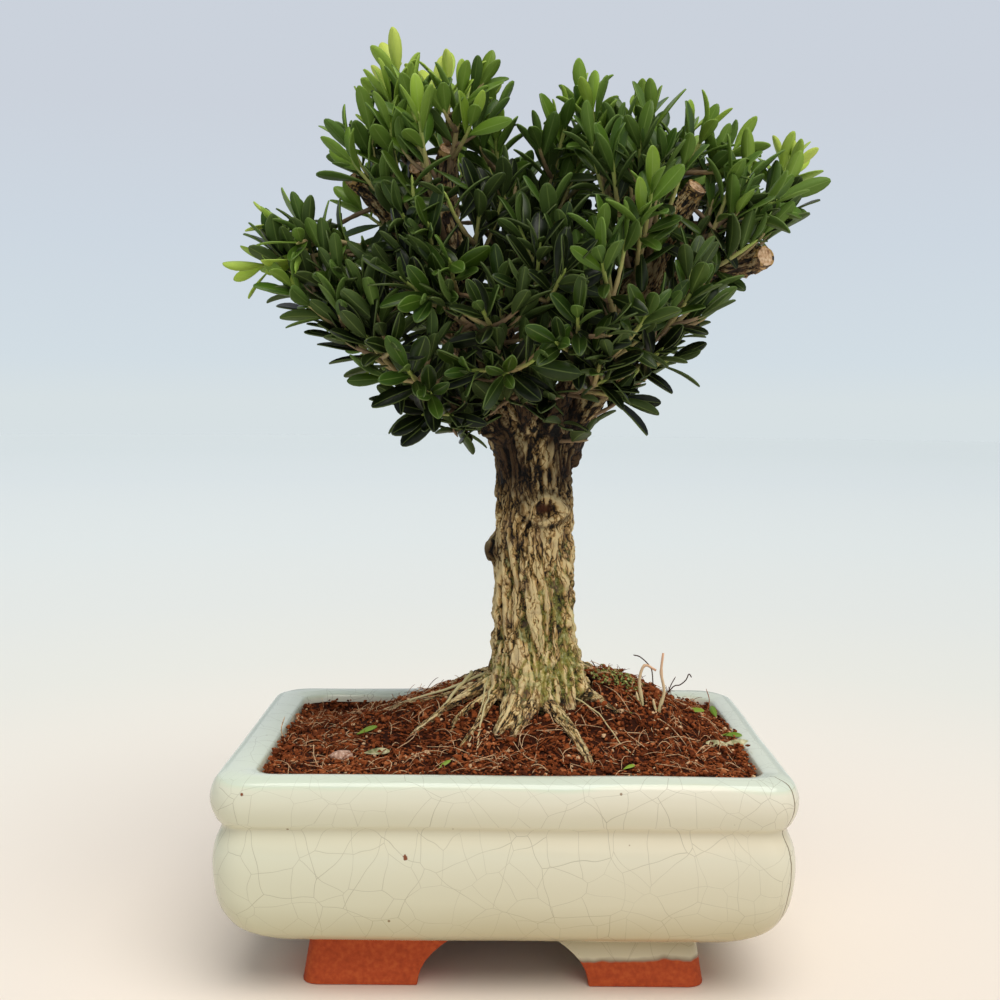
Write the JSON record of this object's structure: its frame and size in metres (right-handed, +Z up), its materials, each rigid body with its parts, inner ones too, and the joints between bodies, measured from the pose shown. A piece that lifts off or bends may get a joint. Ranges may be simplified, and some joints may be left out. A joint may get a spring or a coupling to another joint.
{
  "type": "boxwood bonsai",
  "caption": "Small boxwood tree with a corky, furrowed trunk and spoon-shaped leaves in opposite pairs, growing in soil in a glazed rectangular pot with corner feet.",
  "frame": {"origin": "middle of the footprint of the whole plant with its pot, on the surface that the pot's feet stand on", "axes": "+Z up the trunk, +X to the right along the pot's long side, -Y out of the front"},
  "size_m": [0.1732, 0.1336, 0.2705],
  "materials": {
    "glaze": "gloss",
    "plastic": "matte",
    "earth": "matte",
    "bark": "matte",
    "pebble": "matte",
    "dry_stem": "matte",
    "leaf": "satin"
  },
  "bodies": {
    "root": {"pot": "glaze", "drain_screen_left": "plastic", "drain_screen_right": "plastic", "soil": "earth", "trunk": "bark", "pebble": "pebble", "stalk_tall": "dry_stem", "stalk_short": "dry_stem", "spray_low_left_1": "leaf", "spray_low_left_2": "leaf", "spray_low_left_3": "leaf", "spray_low_left_4": "leaf", "spray_low_left_5": "leaf", "spray_low_left_6": "leaf", "spray_low_left_7": "leaf", "spray_front_1": "leaf", "spray_front_2": "leaf", "spray_front_3": "leaf", "spray_front_4": "leaf", "spray_front_5": "leaf", "spray_front_6": "leaf", "spray_front_7": "leaf", "spray_top_left_1": "leaf", "spray_top_left_2": "leaf", "spray_top_left_3": "leaf", "spray_top_left_4": "leaf", "spray_top_left_5": "leaf", "spray_top_left_6": "leaf", "spray_top_left_7": "leaf", "spray_top_right_1": "leaf", "spray_top_right_2": "leaf", "spray_top_right_3": "leaf", "spray_top_right_4": "leaf", "spray_top_right_5": "leaf", "spray_top_right_6": "leaf", "spray_top_right_7": "leaf", "spray_top_right_8": "leaf", "spray_right_1": "leaf", "spray_right_2": "leaf", "spray_right_3": "leaf", "spray_right_4": "leaf", "spray_right_5": "leaf", "spray_right_6": "leaf", "spray_right_7": "leaf", "spray_right_8": "leaf", "spray_right_9": "leaf", "spray_back_1": "leaf", "spray_back_2": "leaf", "spray_back_3": "leaf", "spray_back_4": "leaf", "spray_back_5": "leaf", "spray_back_6": "leaf", "spray_back_7": "leaf", "spray_back_8": "leaf", "spray_back_9": "leaf", "spray_back_10": "leaf", "spray_back_11": "leaf", "spray_back_12": "leaf"}
  },
  "joints": []
}
